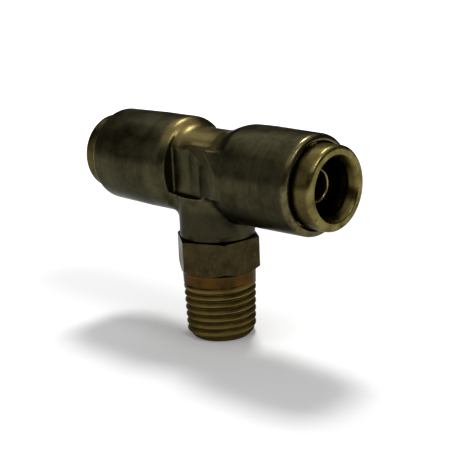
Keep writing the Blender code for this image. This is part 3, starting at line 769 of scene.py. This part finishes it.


# %% [markdown]
# ## Finishes: the forged body
#
# Forging brass that has stood for years goes from yellow to olive and umber, in blotches, and keeps
# its shine only where hands and spanners rub it. The barrels are turned, so they show fine rings; the
# hub keeps the sandy skin of the forging. The rubbed edges are found with the mesh's own pointiness on
# the hub, and by their place at the rims. Painted shade darkens the hollows, the sockets and the
# branch, and painted light lightens the top of the neck.

# %% Aged forged brass
forged, tree, shader, place = new_material("aged_forged_brass", Metallic=1.0)
along, out, rings = lathe(tree, place, "X")
far = maths(tree, "ABSOLUTE", along)
up = add(tree, "SeparateXYZ", {0: place}).outputs["Z"]
blotches = noise(tree, place, 5.0, 4.0, 0.6)
specks = noise(tree, place, 1.1, 3.0, 0.6)
grain = noise(tree, place, 0.35, 3.0, 0.6)
turning = noise(tree, rings, 0.16, 2.0, 0.7)
turned_part = span(tree, far, 8.0 * MM, 10.6 * MM)
forged_part = maths(tree, "MULTIPLY", maths(tree, "SUBTRACT", 1.0, turned_part),
                    span(tree, up, (AXIS - 10.6) * MM, (AXIS - 9.6) * MM))
# Tarnish: dark umber through olive to khaki, so the metal reads as old and handled.
tarnish = ramp(tree, blotches, (0.30, "#2B281B"), (0.44, "#373424"), (0.56, "#403D2A"), (0.70, "#4A4631"))
tarnish = blend(tree, span(tree, specks, 0.5, 0.75, 0.0, 0.3), tarnish, "#574A29")
tarnish = blend(tree, span(tree, specks, 0.45, 0.25, 0.0, 0.35), tarnish, "#24231A")
# Lathe rings lighten and darken the barrels a little, which shows that they are machined.
tarnish = shaded(tree, maths(tree, "MULTIPLY", turned_part, 0.6), tarnish, turning, "#9A9A9A")
# Painted shade darkens the hollow corners of the forging, which makes the pockets read as deep.
point = add(tree, "NewGeometry").outputs["Pointiness"]
hollow_shade = maths(tree, "MULTIPLY", span(tree, point, 0.49, 0.455), forged_part)
tarnish = blend(tree, maths(tree, "MULTIPLY", hollow_shade, 0.4), tarnish, "#1E1B12")
# Rubbed metal: the rims, and the hub's outer edges, are lighter and smoother.
rim = span(tree, far, 23.7 * MM, 24.3 * MM)
edge = maths(tree, "MULTIPLY", span(tree, point, 0.508, 0.53), forged_part)
rubbed = maths(tree, "MULTIPLY", maths(tree, "MAXIMUM", rim, edge),
               span(tree, specks, 0.3, 0.6, 0.35, 1.0))
tarnish = blend(tree, maths(tree, "MULTIPLY", rubbed, 0.5), tarnish, "#736947")
# Painted light lightens the top of the neck to a warm brown; painted shade darkens the branch under it.
near = span(tree, far, 8.0 * MM, 6.0 * MM)
lit_neck_top = maths(tree, "MULTIPLY", near, span(tree, up, (AXIS + 3.5) * MM, (AXIS + 6.5) * MM))
tarnish = blend(tree, maths(tree, "MULTIPLY", lit_neck_top, 0.4), tarnish, "#7E6D3E")
branch_shade = maths(tree, "MULTIPLY", near, span(tree, up, (AXIS - 5.5) * MM, (AXIS - 8.0) * MM))
tarnish = blend(tree, maths(tree, "MULTIPLY", branch_shade, 0.55), tarnish, "#1F1D15")
# Painted shade darkens the sockets and the bores.
socket = maths(tree, "MULTIPLY", span(tree, out, 7.9 * MM, 7.72 * MM), turned_part)
socket_and_bore_shade = maths(tree, "MAXIMUM", socket, span(tree, out, 5.6 * MM, 5.4 * MM))
tarnish = blend(tree, maths(tree, "MULTIPLY", socket_and_bore_shade, 0.8), tarnish, "#241E12")
dull = span(tree, blotches, 0.3, 0.7, 0.27, 0.38)
dull = maths(tree, "SUBTRACT", dull, maths(tree, "MULTIPLY", rubbed, 0.08))
forged_skin = maths(tree, "MULTIPLY", grain, forged_part)
finish_with(tree, shader, tarnish, dull, (forged_skin, 0.05, 0.5),
            (maths(tree, "MULTIPLY", turning, turned_part), 0.012, 0.5), (specks, 0.03, 0.25))

# %% [markdown]
# ## Finishes: the stem
#
# The stem is turned from hexagon bar. Its flats keep the fine lengthwise lines of the drawn bar, the
# thread carries painted light and its roots painted shade, and the plain band over the thread has the
# orange brown that brass takes where sealant and heat have stained it.

# %% Turned stem brass
stem_brass, tree, shader, place = new_material("turned_stem_brass", Metallic=1.0)
along, out, rings = lathe(tree, place, "Z")
blotches = noise(tree, place, 4.0, 4.0, 0.6)
specks = noise(tree, place, 0.8, 3.0, 0.6)
turning = noise(tree, rings, 0.14, 2.0, 0.7)
lengthwise = add(tree, "Mapping", {"Vector": place, "Scale": (1.0, 1.0, 0.04)}).outputs["Vector"]
drawn = noise(tree, lengthwise, 0.12, 2.0, 0.6)
hexagon_part = maths(tree, "MULTIPLY", span(tree, along, 12.8 * MM, 12.95 * MM),
                     span(tree, out, 6.95 * MM, 7.1 * MM))
colour = ramp(tree, blotches, (0.30, "#2B2517"), (0.45, "#362F1D"), (0.58, "#3F3722"), (0.72, "#483F28"))
colour = blend(tree, span(tree, specks, 0.5, 0.75, 0.0, 0.3), colour, "#5F4F2B")
# Stained band: a clear change of hue just over the thread, which fades into its first turns.
band = maths(tree, "MULTIPLY", span(tree, along, 8.6 * MM, 10.8 * MM),
             span(tree, along, 13.1 * MM, 12.7 * MM))
band = maths(tree, "MULTIPLY", band, span(tree, blotches, 0.3, 0.6, 0.15, 0.9))
colour = blend(tree, band, colour, "#583B14")
# Painted light: the thread is lightened against the hexagon.
thread = span(tree, along, 10.7 * MM, 9.3 * MM)
thread_light = maths(tree, "MULTIPLY", thread, span(tree, blotches, 0.3, 0.6, 0.55, 0.95))
colour = blend(tree, thread_light, colour, "#7A6836")
# Painted shade darkens the thread's roots, and the crests, which are rubbed lighter, stand out.
taper = maths(tree, "MULTIPLY", maths(tree, "SUBTRACT", HEX_BOTTOM * MM, along), THREAD_SLOPE)
below_crest = maths(tree, "SUBTRACT", maths(tree, "SUBTRACT", THREAD_RADIUS * MM, taper), out)
root_shade = maths(tree, "MULTIPLY", span(tree, below_crest, 0.2 * MM, 0.6 * MM),
             span(tree, along, 11.0 * MM, 10.6 * MM))
colour = blend(tree, maths(tree, "MULTIPLY", root_shade, 0.4), colour, "#30270F")
crest = maths(tree, "MULTIPLY", span(tree, below_crest, 0.12 * MM, 0.0),
              span(tree, along, 10.7 * MM, 9.7 * MM))
colour = blend(tree, maths(tree, "MULTIPLY", crest, 0.35), colour, "#8E7A48")
marks = add(tree, "Mix", {0: hexagon_part, 2: turning, 3: drawn}).outputs[0]
colour = shaded(tree, 0.45, colour, marks, "#8E8E8E")
dull = maths(tree, "ADD", span(tree, blotches, 0.3, 0.7, 0.28, 0.4),
             maths(tree, "MULTIPLY", thread, 0.14))
finish_with(tree, shader, colour, dull, (marks, 0.012, 0.5), (specks, 0.03, 0.3))

# %% [markdown]
# ## Finishes: buttons, sleeves and inserts
#
# The release buttons are turned in one cut and polished by fingers, so they are the brightest brass on
# the part. One function makes their finish and the finish of the hidden sleeves, with other tones.

# %% Turned brass
def turned_brass(name, tones, low, high, stain_and_shade, flank_shade=0.0):
    """Brass straight from the lathe: rings, thumbed patches, dark stains, and painted shade on the flank
    and bore.
    """
    made, tree, shader, place = new_material(name, Metallic=1.0)
    along, out, rings = lathe(tree, place, "X")
    thumbed = noise(tree, place, 3.2, 3.0, 0.6)
    stains = noise(tree, place, 1.3, 4.0, 0.65)
    turning = noise(tree, rings, 0.13, 2.0, 0.7)
    # Patches of different yellow keep the button from looking like plain gold paint.
    colour = ramp(tree, thumbed, *zip((0.32, 0.5, 0.68), tones))
    # Painted shade: the flank is darkened towards the stain colour.
    shaded_flank = span(tree, maths(tree, "ABSOLUTE", along), 28.5 * MM, 27.9 * MM)
    colour = blend(tree, maths(tree, "MULTIPLY", shaded_flank, flank_shade), colour, stain_and_shade)
    # Small brown stains sit where sweat and oil have dried.
    colour = blend(tree, span(tree, stains, 0.56, 0.72, 0.0, 0.7), colour, stain_and_shade)
    # Painted shade: the bore is darkened a little towards the stain colour.
    bore_shade = span(tree, out, 5.25 * MM, 5.0 * MM)
    colour = blend(tree, maths(tree, "MULTIPLY", bore_shade, 0.3), colour, stain_and_shade)
    colour = shaded(tree, 0.4, colour, turning, "#909090")
    finish_with(tree, shader, colour, span(tree, thumbed, 0.3, 0.7, low, high),
                (turning, 0.012, 0.5), (stains, 0.02, 0.2))
    return made


button_brass = turned_brass("satin_turned_brass", ("#4A4120", "#6B6137", "#857A4C"), 0.22, 0.34,
                            "#3B3118", flank_shade=0.6)
sleeve_brass = turned_brass("bright_turned_brass", ("#7A6A3C", "#94834F", "#A7965F"), 0.24, 0.36,
                            "#5E4A24")
insert_brass = turned_brass("drawn_tube_brass", ("#7E6E40", "#9A8956", "#AD9C66"), 0.2, 0.32,
                            "#5A4722")

# %% [markdown]
# ## Finishes: plastics, rubber and spring wire
#
# Acetal is ivory and faintly waxy, PTFE is whiter and duller, and nitrile is black with a grey bloom.
# The snap ring is drawn steel wire with a film of oil.

# %% Plastics, rubber and wire
def moulded(name, tones, size, low, high, grain_depth, **values):
    """A plastic or rubber: a slow change of tone, fine grain and uneven shine."""
    made, tree, shader, place = new_material(name, **values)
    slow = noise(tree, place, size, 3.0, 0.55)
    grain = noise(tree, place, 0.12, 2.0, 0.6)
    # A slow change of tone and a fine grain keep it from looking like one flat colour.
    mixed = maths(tree, "ADD", maths(tree, "MULTIPLY", slow, 0.8), maths(tree, "MULTIPLY", grain, 0.2))
    colour = ramp(tree, mixed, *zip((0.35, 0.5, 0.65), tones))
    finish_with(tree, shader, colour, span(tree, slow, 0.3, 0.7, low, high), (grain, grain_depth, 0.4))
    return made


acetal = moulded("turned_acetal", ("#BDB8A8", "#CFCABC", "#DAD6CA"), 2.0, 0.34, 0.46, 0.006)
ptfe = moulded("moulded_ptfe", ("#D2CFC6", "#DEDCD5", "#E8E6E0"), 2.4, 0.46, 0.6, 0.004)
nitrile = moulded("nitrile_rubber", ("#0F0F10", "#181818", "#242423"), 1.4, 0.42, 0.62, 0.01)

spring, tree, shader, place = new_material("drawn_spring_steel", Metallic=1.0)
_, _, rings = lathe(tree, place, "Z")
drawing = noise(tree, rings, 0.08, 2.0, 0.6)
oil = noise(tree, place, 2.0, 3.0, 0.6)
# Lines along the wire from the drawing die, under brown patches of dried oil.
colour = ramp(tree, oil, (0.35, "#6B655B"), (0.55, "#86857F"), (0.7, "#9B9B97"))
finish_with(tree, shader, colour, span(tree, oil, 0.3, 0.7, 0.4, 0.26), (drawing, 0.006, 0.5))

# %% [markdown]
# ## Put the finishes on
#
# Each piece takes the place of one CAD node and rides on that node's body.

# %% Assign
finished(body, forged, "tee", "tee_body")
finished(stem, stem_brass, "stem", "swivel_stem")
for name in SIDES:
    finished(buttons[name], button_brass, f"collet_{name}", f"release_collet_{name}")
    for piece, (finish, slot) in {
        "collet_housing": (sleeve_brass, "housing_brass"), "tube_support": (insert_brass, "support_brass"),
        "spacer_ring": (acetal, "acetal"), "tube_seal": (nitrile, "nitrile"),
    }.items():
        finished(port_rings[name][piece], finish, "tee", f"{piece}_{name}")
finished(washer, acetal, "stem", "thrust_washer")
finished(backup, ptfe, "stem", "stem_backup_ring")
finished(o_ring, nitrile, "stem", "stem_seal")
finished(wire, spring, "stem", "snap_ring")

# %% [markdown]
# ## The view transform

# %% View transform
bpy.context.scene.view_settings.view_transform = "Standard"
